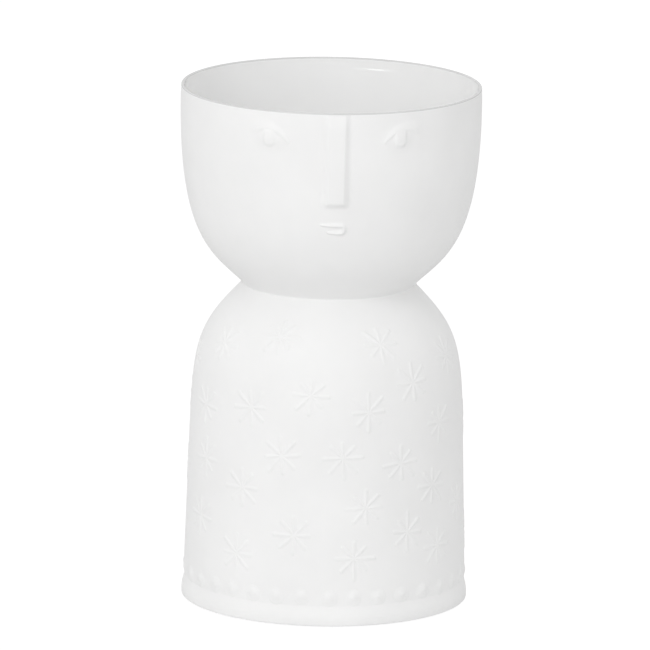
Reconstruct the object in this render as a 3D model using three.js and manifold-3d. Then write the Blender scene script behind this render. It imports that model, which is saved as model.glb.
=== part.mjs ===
// A figure-shaped porcelain vase, in millimetres: a bowl for the head, with a relief face, on a bell-shaped
// body with relief stars and a beaded hem. +Z is up, the face looks along -Y, and the origin is the middle
// of the foot, on the surface that the vase stands on. The pieces are the ones that are luted together
// before firing.
import * as THREE from "three";
import { mergeVertices } from "three/addons/utils/BufferGeometryUtils.js";
import Module from "manifold-3d";

// Body
const BODY_HEIGHT = 107; // from the foot to the neck crease
const BODY_RADIUS = 46.9; // of the wall where it meets the hem
const BODY_WALL = 4;
const SHOULDER_RADIUS = 45.5; // where the straight wall turns into the shoulder
const SHOULDER_RISE = 45; // from there up to the neck crease
const SHOULDER_FULLNESS = 0.6; // how long the wall's line carries on into the shoulder, in rises
const NECK_RADIUS = 28.5;
const NECK_SLOPE = 46.3; // of the shoulder at the crease, in degrees
const NECK_EASE = 0.43; // how long the slope at the crease lasts, in rises

// Head
const HEAD_HEIGHT = 66.7; // from the neck crease to the rim
const HEAD_RADIUS = 50; // at its widest
const HEAD_WIDEST_DROP = 5.7; // from the rim down to the widest place
const HEAD_WALL = 3.4; // at the neck, thinning towards the lip
const CHIN_SLOPE = 47.5; // of the bowl at the crease, in degrees
const CHIN_EASE = 0.22; // how long that slope lasts, in rises of the bowl
const CHEEK_FULLNESS = 0.8; // how long the upright wall lasts, in rises of the bowl
const LIP_THICKNESS = 2;
const LIP_RADIUS = 49.4; // outside of the rounded lip

// Joints between the shells
const JOINT_GAP = 0.3; // slip in a luted joint
const COLLAR_RADIUS = 23.5; // hole in the top of the body
const SPIGOT_WALL = 3;
const SPIGOT_LENGTH = 6;

// Floor slab
const SLAB_THICKNESS = 5.5;
const SLAB_EDGE = 3.5; // thickness of the rebated edge, which carries the body
const FOOT_RING_WIDTH = 7;
const FOOT_RING_DEPTH = 1;
const FOOT_CHAMFER = 0.5;

// Beaded hem
const HEM_THICKNESS = 1.9; // where it is flush with the wall
const HEM_PROUD = 0.6; // of the rolled edge, from the wall
const HEM_LIFT = 0.4; // above the surface that the vase stands on
const HEM_ROLL = 8.4; // top of the rolled edge
const HEM_ROLL_LOW = 3; // where the rolled edge stands upright, from here
const HEM_ROLL_HIGH = 5.8; // to here
const HEM_MARGIN = 0.3; // above the beads
const BEAD_DIAMETER = 4.2;
const BEAD_PROUD = 1.3;
const BEAD_PITCH = 8.7;

// Relief pieces
const SLIP_GAP = 0.3; // between a relief piece and its wall
const NOSE_WIDTH = 7.4;
const NOSE_ROOT_DROP = 1.4; // from the rim
const NOSE_TIP_DROP = 30.2;
const NOSE_ROOT_RELIEF = 0.7;
const NOSE_TIP_RELIEF = 2.2;
const NOSE_ROUNDING = 0.6;
const EYE_AZIMUTH = 26.5; // in degrees to each side of the face
const EYE_DROP = 9; // from the rim to the corners of the eye
const EYE_WIDTH = 14;
const EYE_RELIEF = 0.8;
const LID_RISE = 4.2; // of its upper edge over the corners
const LID_THICKNESS = 1.2;
const IRIS_RADIUS = 2.2;
const MOUTH_DROP = 38.3; // from the rim
const MOUTH_WIDTH = 8.8;
const MOUTH_HEIGHT = 4.4;
const MOUTH_RELIEF = 0.9;
const SLOT_WIDTH = 4.8;
const SLOT_HEIGHT = 1;
const STAR_RADIUS = 7;
const STAR_RAYS = 8;
const STAR_RELIEF = 0.8;
const RAY_WIDTH = 1.2;
const RAY_TIP = 0.8; // length of a ray's pointed end

// Where the front stars are: degrees round from the face, and hundredths of the way from hem to neck.
const FRONT_STARS = [
  [-26, 88], [24, 86], [-58, 83], [64, 78], [38, 72], [-9, 69], [-36, 63], [16, 63],
  [-64, 60], [53, 56], [5, 47], [-21, 47], [31, 44], [-62, 41], [-39, 34], [48, 34],
  [15, 29], [69, 25], [-65, 20], [-15, 19], [34, 19], [51, 12], [10, 11], [-41, 10],
];
// The stars behind fill the rest evenly: each is one golden step further round, and a little higher.
const BACK_STAR_COUNT = 26;
const BACK_FROM = 84;
const BACK_TO = 282;
const BACK_LOWEST = 12;
const BACK_HIGHEST = 86;
const GOLDEN_STEP = 0.618;

// Fineness of the faces
const TURN_SEGMENTS = 48;
const OUTLINE_STEPS = 12;
const INSIDE_STEPS = 8;
const LIP_STEPS = 4;
const RELIEF_STEPS = 6;
const IRIS_SEGMENTS = 12;
const BEAD_SEGMENTS = 8;
const BEAD_RINGS = 6;

const PORCELAIN = 0xf4f3f1;
const BISQUE_ROUGHNESS = 0.6;

const FULL_TURN = 2 * Math.PI;
const FULL_SHARE = 100;
const SEARCH_STEPS = 40;

const wasm = await Module();
wasm.setup();

// An outline that rises along the outside of a wall, turned round the axis.
class Wall {
  constructor(outline) {
    this.outline = outline;
    this.length = outline.getLength();
  }

  // Radius, height and outward direction at a distance along the outline, straight on past its ends.
  at(distance) {
    const share = THREE.MathUtils.clamp(distance / this.length, 0, 1);
    const rise = this.outline.getTangent(share);
    const point = this.outline.getPoint(share);
    point.addScaledVector(rise, distance - share * this.length);
    return { point, outward: new THREE.Vector2(rise.y, -rise.x) };
  }

  // Distance along the outline at which it reaches a height.
  distanceAt(height) {
    let low = 0;
    let high = this.length;
    for (let step = 0; step < SEARCH_STEPS; step += 1) {
      const middle = (low + high) / 2;
      if (this.at(middle).point.y < height) {
        low = middle;
      } else {
        high = middle;
      }
    }
    return low;
  }

  // Points spaced along the outline, moved inwards by a thickness that changes evenly from foot to top.
  offset(steps, footThickness, topThickness) {
    return Array.from({ length: steps + 1 }, (_, step) => {
      const share = step / steps;
      const { point, outward } = this.at(share * this.length);
      const thickness = THREE.MathUtils.lerp(footThickness, topThickness, share);
      return point.addScaledVector(outward, -thickness);
    });
  }
}

function bodyWall() {
  const slope = THREE.MathUtils.degToRad(NECK_SLOPE);
  const shoulderStart = new THREE.Vector2(SHOULDER_RADIUS, BODY_HEIGHT - SHOULDER_RISE);
  const straight = shoulderStart.clone().sub(new THREE.Vector2(BODY_RADIUS, hemTop)).normalize();
  const lower = shoulderStart.clone().addScaledVector(straight, SHOULDER_FULLNESS * SHOULDER_RISE);
  const ease = NECK_EASE * SHOULDER_RISE;
  const upper = new THREE.Vector2(
    NECK_RADIUS + ease * Math.cos(slope),
    BODY_HEIGHT - ease * Math.sin(slope),
  );
  const outline = new THREE.Path();
  outline.moveTo(BODY_RADIUS, hemTop);
  outline.lineTo(shoulderStart.x, shoulderStart.y);
  outline.bezierCurveTo(lower.x, lower.y, upper.x, upper.y, NECK_RADIUS, BODY_HEIGHT);
  return new Wall(outline);
}

// The head's own heights count from the neck crease.
function headWall() {
  const slope = THREE.MathUtils.degToRad(CHIN_SLOPE);
  const widest = HEAD_HEIGHT - HEAD_WIDEST_DROP;
  const ease = CHIN_EASE * widest;
  const lipHeight = HEAD_HEIGHT - LIP_THICKNESS / 2;
  const outline = new THREE.Path();
  outline.moveTo(NECK_RADIUS, 0);
  outline.bezierCurveTo(
    NECK_RADIUS + ease * Math.cos(slope),
    ease * Math.sin(slope),
    HEAD_RADIUS,
    (1 - CHEEK_FULLNESS) * widest,
    HEAD_RADIUS,
    widest,
  );
  outline.quadraticCurveTo(HEAD_RADIUS, (widest + lipHeight) / 2, LIP_RADIUS, lipHeight);
  return new Wall(outline);
}

// A closed or axis-to-axis profile of radius and height, turned round the Z axis.
function turned(profile) {
  return new THREE.LatheGeometry(profile, TURN_SEGMENTS).rotateX(Math.PI / 2);
}

function corner(radius, height) {
  return new THREE.Vector2(radius, height);
}

function solidOf(geometry) {
  const bare = geometry.clone();
  bare.deleteAttribute("normal");
  bare.deleteAttribute("uv");
  const merged = mergeVertices(bare);
  return new wasm.Manifold(
    new wasm.Mesh({
      numProp: 3,
      vertProperties: merged.attributes.position.array,
      triVerts: new Uint32Array(merged.index.array),
    }),
  );
}

function geometryOf(solid) {
  const mesh = solid.getMesh();
  const geometry = new THREE.BufferGeometry();
  geometry.setAttribute("position", new THREE.BufferAttribute(mesh.vertProperties, 3));
  geometry.setIndex(new THREE.BufferAttribute(mesh.triVerts, 1));
  geometry.computeVertexNormals();
  return geometry;
}

// Lays a flat piece on a wall, facing -Y: its x runs round the wall, its y runs up from the given height
// and its z stands out from the wall, beyond the layer of slip.
function laidOn(wall, height, geometry) {
  const start = wall.distanceAt(height);
  const position = geometry.attributes.position;
  for (let i = 0; i < position.count; i += 1) {
    const { point, outward } = wall.at(start + position.getY(i));
    const azimuth = position.getX(i) / point.x;
    point.addScaledVector(outward, SLIP_GAP + position.getZ(i));
    position.setXYZ(i, point.x * Math.sin(azimuth), -point.x * Math.cos(azimuth), point.y);
  }
  geometry.computeVertexNormals();
  return geometry;
}

function headBowl() {
  const spigotRadius = COLLAR_RADIUS - JOINT_GAP;
  const passageRadius = spigotRadius - SPIGOT_WALL;
  const lip = new THREE.Path();
  const lipHeight = HEAD_HEIGHT - LIP_THICKNESS / 2;
  lip.absarc(LIP_RADIUS - LIP_THICKNESS / 2, lipHeight, LIP_THICKNESS / 2, 0, Math.PI);
  const inside = head.offset(INSIDE_STEPS, HEAD_WALL, LIP_THICKNESS);
  const seat = corner(spigotRadius, 0);
  return turned([
    seat,
    ...head.offset(OUTLINE_STEPS, 0, 0),
    ...lip.getPoints(LIP_STEPS).slice(1, -1),
    ...inside.reverse(),
    corner(passageRadius, inside.at(-1).y),
    corner(passageRadius, -SPIGOT_LENGTH),
    corner(spigotRadius, -SPIGOT_LENGTH),
    seat,
  ]);
}

function bodyBell() {
  const inside = body.offset(INSIDE_STEPS, BODY_WALL, BODY_WALL);
  const foot = corner(skirtRadius, SLAB_EDGE);
  return turned([
    foot,
    corner(skirtRadius, hemTop),
    ...body.offset(OUTLINE_STEPS, 0, 0),
    corner(COLLAR_RADIUS, BODY_HEIGHT),
    corner(COLLAR_RADIUS, inside.at(-1).y),
    ...inside.reverse(),
    corner(skirtInside, SLAB_EDGE),
    foot,
  ]);
}

function floorSlab() {
  const stepRadius = skirtInside - JOINT_GAP;
  return turned([
    corner(0, FOOT_RING_DEPTH),
    corner(skirtRadius - FOOT_RING_WIDTH, FOOT_RING_DEPTH),
    corner(skirtRadius - FOOT_RING_WIDTH, 0),
    corner(skirtRadius - FOOT_CHAMFER, 0),
    corner(skirtRadius, FOOT_CHAMFER),
    corner(skirtRadius, SLAB_EDGE),
    corner(stepRadius, SLAB_EDGE),
    corner(stepRadius, SLAB_THICKNESS),
    corner(0, SLAB_THICKNESS),
  ]);
}

// The hem's rolled edge, with the row of beads above it and a flat back in the half-lap of the skirt.
function beadedHem() {
  const back = skirtRadius + JOINT_GAP;
  const front = BODY_RADIUS + HEM_PROUD;
  const edge = new THREE.Path();
  edge.moveTo(back, HEM_LIFT);
  edge.quadraticCurveTo(front, HEM_LIFT, front, HEM_ROLL_LOW);
  edge.lineTo(front, HEM_ROLL_HIGH);
  edge.quadraticCurveTo(front, HEM_ROLL, BODY_RADIUS, HEM_ROLL);
  edge.lineTo(BODY_RADIUS, hemTop);
  edge.lineTo(back, hemTop);
  edge.closePath();
  const beadCount = Math.round((FULL_TURN * BODY_RADIUS) / BEAD_PITCH);
  const bead = new THREE.SphereGeometry(BEAD_DIAMETER / 2, BEAD_SEGMENTS, BEAD_RINGS);
  bead.scale(1, BEAD_PROUD / (BEAD_DIAMETER / 2), 1);
  bead.translate(0, -BODY_RADIUS, beadHeight);
  let hem = solidOf(turned(edge.getPoints(LIP_STEPS)));
  for (let i = 0; i < beadCount; i += 1) {
    hem = hem.add(solidOf(bead.clone().rotateZ((i * FULL_TURN) / beadCount)));
  }
  return geometryOf(hem);
}

// A strip with rounded edges that stands out further towards its tip.
function nose() {
  const half = NOSE_WIDTH / 2;
  const inset = half - NOSE_ROUNDING;
  const section = new THREE.Shape();
  section.moveTo(half, 0);
  section.lineTo(half, 1 - NOSE_ROUNDING);
  section.quadraticCurveTo(half, 1, inset, 1);
  section.lineTo(-inset, 1);
  section.quadraticCurveTo(-half, 1, -half, 1 - NOSE_ROUNDING);
  section.lineTo(-half, 0);
  const length = NOSE_TIP_DROP - NOSE_ROOT_DROP;
  const strip = new THREE.ExtrudeGeometry(section, {
    depth: length,
    steps: RELIEF_STEPS,
    curveSegments: LIP_STEPS,
    bevelEnabled: false,
  });
  // The strip hangs down from its root, with its unit of thickness stretched to the relief there.
  strip.rotateX(Math.PI / 2);
  const position = strip.attributes.position;
  for (let i = 0; i < position.count; i += 1) {
    const share = -position.getY(i) / length;
    const relief = THREE.MathUtils.lerp(NOSE_ROOT_RELIEF, NOSE_TIP_RELIEF, share);
    position.setZ(i, position.getZ(i) * relief);
  }
  return laidOn(head, HEAD_HEIGHT - NOSE_ROOT_DROP, strip);
}

// A curved lid, thickest over a round iris that hangs from it.
function eye() {
  const half = EYE_WIDTH / 2;
  const crescent = new THREE.Shape();
  crescent.moveTo(-half, 0);
  crescent.quadraticCurveTo(0, 2 * (LID_RISE - LID_THICKNESS), half, 0);
  crescent.quadraticCurveTo(0, 2 * LID_RISE, -half, 0);
  const lid = new THREE.ExtrudeGeometry(crescent, {
    depth: EYE_RELIEF,
    curveSegments: OUTLINE_STEPS,
    bevelEnabled: false,
  });
  const iris = new THREE.CylinderGeometry(IRIS_RADIUS, IRIS_RADIUS, EYE_RELIEF, IRIS_SEGMENTS);
  iris.rotateX(Math.PI / 2);
  iris.translate(0, LID_RISE - LID_THICKNESS / 2 - IRIS_RADIUS, EYE_RELIEF / 2);
  return laidOn(head, HEAD_HEIGHT - EYE_DROP, geometryOf(solidOf(lid).add(solidOf(iris))));
}

function mouth() {
  const lips = new THREE.Shape();
  lips.absellipse(0, 0, MOUTH_WIDTH / 2, MOUTH_HEIGHT / 2, 0, FULL_TURN);
  const slot = new THREE.Path();
  slot.absellipse(0, 0, SLOT_WIDTH / 2, SLOT_HEIGHT / 2, 0, FULL_TURN);
  lips.holes.push(slot);
  const ring = new THREE.ExtrudeGeometry(lips, {
    depth: MOUTH_RELIEF,
    curveSegments: RELIEF_STEPS,
    bevelEnabled: false,
  });
  return laidOn(head, HEAD_HEIGHT - MOUTH_DROP, ring);
}

// Rays with a ridge along the middle, which run down to the wall at both sides and at the tip.
function star(height) {
  const step = FULL_TURN / STAR_RAYS;
  const valley = RAY_WIDTH / 2 / Math.sin(step / 2);
  const shoulder = STAR_RADIUS - RAY_TIP;
  const points = [new THREE.Vector3(0, 0, 0), new THREE.Vector3(0, 0, STAR_RELIEF)];
  const faces = [];
  const [backCentre, crown, firstRay] = [0, 1, 2];
  const pointsPerRay = 5;
  for (let ray = 0; ray < STAR_RAYS; ray += 1) {
    const turn = new THREE.Euler(0, 0, ray * step);
    points.push(
      new THREE.Vector3(valley, 0, 0).applyEuler(new THREE.Euler(0, 0, (ray - 0.5) * step)),
      new THREE.Vector3(shoulder, -RAY_WIDTH / 2, 0).applyEuler(turn),
      new THREE.Vector3(STAR_RADIUS, 0, 0).applyEuler(turn),
      new THREE.Vector3(shoulder, RAY_WIDTH / 2, 0).applyEuler(turn),
      new THREE.Vector3(shoulder, 0, STAR_RELIEF).applyEuler(turn),
    );
    const from = firstRay + ray * pointsPerRay;
    const [before, right, tip, left, ridge] = [from, from + 1, from + 2, from + 3, from + 4];
    const after = firstRay + ((ray + 1) % STAR_RAYS) * pointsPerRay;
    faces.push(crown, before, right, crown, right, ridge, ridge, right, tip);
    faces.push(ridge, tip, left, crown, ridge, left, crown, left, after);
    faces.push(backCentre, right, before, backCentre, tip, right);
    faces.push(backCentre, left, tip, backCentre, after, left);
  }
  const flat = new THREE.BufferGeometry().setFromPoints(points).setIndex(faces);
  return laidOn(body, height, flat);
}

// Every star's place, as degrees round from the face and a height on the body.
function starPlaces() {
  const back = Array.from({ length: BACK_STAR_COUNT }, (_, i) => {
    const round = (i * GOLDEN_STEP) % 1;
    const share = i / (BACK_STAR_COUNT - 1);
    return [
      THREE.MathUtils.lerp(BACK_FROM, BACK_TO, round),
      THREE.MathUtils.lerp(BACK_LOWEST, BACK_HIGHEST, share),
    ];
  });
  return [...FRONT_STARS, ...back].map(([azimuth, share]) => ({
    azimuth,
    height: THREE.MathUtils.lerp(hemTop, BODY_HEIGHT, share / FULL_SHARE),
  }));
}

function piece(name, geometry, azimuth = 0) {
  const material = new THREE.MeshStandardMaterial({
    color: PORCELAIN,
    roughness: BISQUE_ROUGHNESS,
    metalness: 0,
  });
  const mesh = new THREE.Mesh(geometry, material);
  mesh.name = name;
  mesh.rotation.z = THREE.MathUtils.degToRad(azimuth);
  return mesh;
}

const beadHeight = HEM_ROLL + BEAD_DIAMETER / 2;
const hemTop = beadHeight + BEAD_DIAMETER / 2 + HEM_MARGIN;
const skirtRadius = BODY_RADIUS - HEM_THICKNESS - JOINT_GAP;
const skirtInside = BODY_RADIUS - BODY_WALL;
const body = bodyWall();
const head = headWall();

const headGroup = new THREE.Group();
headGroup.position.z = BODY_HEIGHT;
headGroup.add(
  piece("head_bowl", headBowl()),
  piece("nose", nose()),
  piece("left_eye", eye(), -EYE_AZIMUTH),
  piece("right_eye", eye(), EYE_AZIMUTH),
  piece("mouth", mouth()),
);

const bodyGroup = new THREE.Group();
bodyGroup.add(
  piece("body_bell", bodyBell()),
  piece("floor_slab", floorSlab()),
  piece("beaded_hem", beadedHem()),
);
starPlaces().forEach(({ azimuth, height }, i) => {
  const number = String(i + 1).padStart(2, "0");
  bodyGroup.add(piece(`star_${number}`, star(height), azimuth));
});

const vase = new THREE.Group();
vase.name = "vase";
vase.add(bodyGroup, headGroup);

export default vase;
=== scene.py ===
import math
import random

import bmesh
import bpy
import numpy as np
from bpy.props import FloatProperty, FloatVectorProperty, IntProperty, PointerProperty
from mathutils import Matrix, Vector


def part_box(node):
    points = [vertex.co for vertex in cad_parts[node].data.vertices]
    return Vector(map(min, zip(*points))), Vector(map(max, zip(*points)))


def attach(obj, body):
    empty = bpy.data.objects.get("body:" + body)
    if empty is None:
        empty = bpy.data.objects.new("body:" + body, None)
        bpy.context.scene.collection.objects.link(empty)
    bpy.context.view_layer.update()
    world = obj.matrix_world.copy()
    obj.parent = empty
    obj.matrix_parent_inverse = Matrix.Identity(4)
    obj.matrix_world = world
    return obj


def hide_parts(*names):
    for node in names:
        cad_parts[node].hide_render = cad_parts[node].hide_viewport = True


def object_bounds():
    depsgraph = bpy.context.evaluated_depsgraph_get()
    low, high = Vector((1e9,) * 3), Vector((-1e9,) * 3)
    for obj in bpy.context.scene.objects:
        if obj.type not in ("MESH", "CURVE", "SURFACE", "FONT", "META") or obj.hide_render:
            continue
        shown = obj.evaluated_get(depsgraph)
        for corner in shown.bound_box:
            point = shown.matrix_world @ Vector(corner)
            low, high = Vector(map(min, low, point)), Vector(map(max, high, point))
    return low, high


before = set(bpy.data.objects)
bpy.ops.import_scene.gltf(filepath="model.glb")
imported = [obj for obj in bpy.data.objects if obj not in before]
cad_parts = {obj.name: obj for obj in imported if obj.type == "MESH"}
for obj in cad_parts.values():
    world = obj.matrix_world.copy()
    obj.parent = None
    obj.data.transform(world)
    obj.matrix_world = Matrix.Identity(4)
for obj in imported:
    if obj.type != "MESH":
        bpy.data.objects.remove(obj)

bl_info = {
    "name": "Porcelain Figure Vase",
    "version": (1, 0, 0),
    "blender": (4, 5, 0),
    "location": "3D View > Sidebar > Vase",
    "description": "Models a white porcelain figure vase with a relief face, line stars and a beaded hem",
    "category": "Object",
}

CAD_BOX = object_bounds()
CAD_MIDDLE = (CAD_BOX[0] + CAD_BOX[1]) / 2
MM = 0.001
VASE_BODY = "root"
STAR_NODES = sorted(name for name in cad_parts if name.startswith("star_"))

# White floor, in metres where it is a size, and how far the camera sees
FLOOR_MIDDLE = 1.375
FLOOR_FLAT = 5.5
FLOOR_EDGE = 6.6
FLOOR_LIFT = 0.5
FLOOR_WHITE = 0.8
GLARE_SHARE = 0.85
GLARE_STRENGTH = 1.1
VIEW_DEPTH = 30.0

# Fineness of the meshes
TURN_SEGMENTS = 192
TURNS = np.arange(TURN_SEGMENTS) * 2.0 * math.pi / TURN_SEGMENTS
CURVE_SAMPLES = 400
WALL_STEPS = 90
INSIDE_STEPS = 60
RUN_STEPS = 50
ARC_STEPS = 10
SHARP_ANGLE = math.radians(50)
WELD_DISTANCE = 0.002 * MM

# How the shells meet inside
SLIP_GAP = 0.3 * MM
SPIGOT_DEPTH = 6 * MM
SPIGOT_WALL = 3 * MM
THROAT_EDGE = 1.5 * MM
SLAB_STEP = 2 * MM
SLAB_HUB = 0.5 * MM
FOOT_EDGE = 0.5 * MM

# How a relief piece is set into its wall
RELIEF_SINK = 0.25 * MM
RELIEF_BACK = 0.6 * MM
RELIEF_MARGIN = 0.3
BURIED_SHARE = 0.99

# How unlike the stars and their rays are
STAR_SEED = 11
STAR_SMALLEST = 0.94
STAR_TURN = math.radians(5)
RAY_SHORTEST = 0.76
RAY_FAINTEST = 0.45
RAY_LEAN = 0.07

# Share of its full size that a ray has at the hub, and the hub radii over which it grows
HUB_SHARE = 0.45
HUB_GROWTH = 2.0

# Fineness of the rays
HUB_STEPS = 8
RAY_STEPS = 12
TIP_STEPS = 7
RAY_STRIPS = 14

# Fineness of the beads, and how unlike they are
BEAD_SIDES = 28
BEAD_RINGS = 10
BEAD_BORDER = 2
BEAD_SEED = 7
BEAD_SMALLEST = 0.92
BEAD_LEAN = 0.06
BEAD_DRIFT = 0.012
BEAD_LIFT = 0.2 * MM

# Grid of the eyes and the mouth, and how their strokes end
PATCH_STEP = 0.16 * MM
STROKE_END = 0.5

# Shares of an eyelid: how far its curves are pulled out, and where and how soon it broadens
LID_INNER_PULL = 1 / 2
LID_OUTER_PULL = 2 / 3
LID_BROADENS = 0.4
LID_BROADENING = 0.5

# Fineness of the nose, how softly its sides run out, and how far it stands out at the rim
NOSE_FOOT = 1.5
NOSE_TOP = 0.6
NOSE_EDGE_STEPS = 24
NOSE_MIDDLE_STEPS = 6
NOSE_LENGTH_STEPS = 40
NOSE_END_STEPS = 32

# Finishes: spread of their noise, least and greatest roughness, and heights of their bumps
NOISE_ROUGHNESS = 0.55
NOISE_LOW = 0.3
NOISE_HIGH = 0.7
BISQUE_ROUGHNESS = (0.52, 0.64)
GLAZE_ROUGHNESS = (0.07, 0.1)
LIP_ROUGHNESS = (0.2, 0.3)
PAPER_ROUGHNESS = (0.75, 0.85)
WAVE_HEIGHT = 0.05 * MM
GRAIN_HEIGHT = 0.006 * MM
RIPPLE_HEIGHT = 0.01 * MM


def length(name, description, millimetres):
    """A size property, given in millimetres and kept in metres."""
    return FloatProperty(
        name=name,
        description=description,
        default=millimetres * MM,
        min=0.0,
        precision=5,
        unit="LENGTH",
        subtype="DISTANCE",
    )


def angle(name, description, degrees):
    return FloatProperty(
        name=name,
        description=description,
        default=math.radians(degrees),
        unit="ROTATION",
        subtype="ANGLE",
    )


def factor(name, description, value):
    return FloatProperty(name=name, description=description, default=value, subtype="FACTOR")


def power(name, description, watts):
    return FloatProperty(name=name, description=description, default=watts, unit="POWER")


def colour(name, description, value):
    return FloatVectorProperty(
        name=name,
        description=description,
        default=value,
        size=3,
        min=0.0,
        max=1.0,
        subtype="COLOR",
    )


class VaseShells(bpy.types.PropertyGroup):
    """Sizes of the turned shells."""

    body_height: length("Body height", "From the foot up to the neck crease", 107)
    body_radius: length("Body radius", "Outside of the wall above the beads", 46.9)
    body_wall: length("Body wall", "Thickness of the body's wall", 4)
    hem_top: length("Hem top", "Height at which the plain wall begins", 12.9)
    shoulder_radius: length("Shoulder radius", "Where the wall turns into the shoulder", 45.5)
    shoulder_rise: length("Shoulder rise", "From there up to the neck crease", 45)
    shoulder_fullness: factor("Shoulder fullness", "How long the wall's line carries on, in rises", 0.6)
    neck_radius: length("Neck radius", "Outside of the neck crease", 28.5)
    neck_slope: angle("Neck slope", "Slope of the shoulder at the crease", 46.3)
    neck_ease: factor("Neck ease", "How long that slope lasts, in rises", 0.43)
    crease_ease: length("Crease ease", "Of the slip in the neck crease", 0.4)
    passage_radius: length("Passage radius", "Hole through the neck", 20.2)
    head_height: length("Head height", "From the neck crease up to the rim", 66.7)
    head_radius: length("Head radius", "At its widest", 49.99)
    head_wall: length("Head wall", "Thickness at the neck, thinning towards the lip", 3.4)
    widest_drop: length("Widest drop", "From the rim down to the widest place", 5.7)
    chin_slope: angle("Chin slope", "Slope of the bowl at the crease", 47.5)
    chin_ease: factor("Chin ease", "How long that slope lasts, in rises of the bowl", 0.22)
    cheek_fullness: factor("Cheek fullness", "How long the upright wall lasts, in rises of the bowl", 0.8)
    lip_radius: length("Lip radius", "Outside of the thin lip", 49.85)
    lip_thickness: length("Lip thickness", "Across the rounded lip", 1.0)
    lip_edge: length("Lip edge", "Width of the lip's outer rounding", 0.25)
    lip_rise: length("Lip rise", "Height of the lip's rounding", 0.42)
    lining_drop: length("Lining drop", "From the lip down to where the wall thickens more slowly", 20)
    lining_wall: length("Lining wall", "Thickness of the wall there", 1.7)
    run_drop: length("Glaze run drop", "From the rim to the edge of a run of glaze inside the back", 3.6)
    run_edge: length("Glaze run edge", "Height of the run's steep upper edge", 0.8)
    run_swell: length("Glaze run swell", "Thickness of the run", 0.18)
    run_length: length("Glaze run length", "From its edge down to where it fades out", 6)
    run_width: length("Glaze run width", "Of the run, round the wall", 18)
    run_turn: angle("Glaze run turn", "Of the run, round from the face", 160)
    slab_thickness: length("Floor thickness", "Of the floor slab", 5.5)
    foot_inner: length("Foot ring, inside", "Inner radius of the foot ring", 37.7)
    foot_outer: length("Foot ring, outside", "Outer radius of the foot ring", 44.7)
    foot_depth: length("Foot ring depth", "How far the foot ring stands below the floor", 1)
    hem_lift: length("Hem lift", "From the standing surface to the hem's edge", 0.4)
    hem_proud: length("Hem proud", "Of the rolled edge, from the wall", 0.75)
    hem_beads: length("Bead row", "Height of the middle of the beads", 10.3)
    hem_top_roll: length("Hem roll, top", "Where the rolled edge leaves the wall", 8.2)
    hem_roll: length("Hem roll, full", "Where the rolled edge stands out fully", 2.6)
    hem_turn: length("Hem turn", "Where the rolled edge begins to turn under", 0.9)


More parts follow.
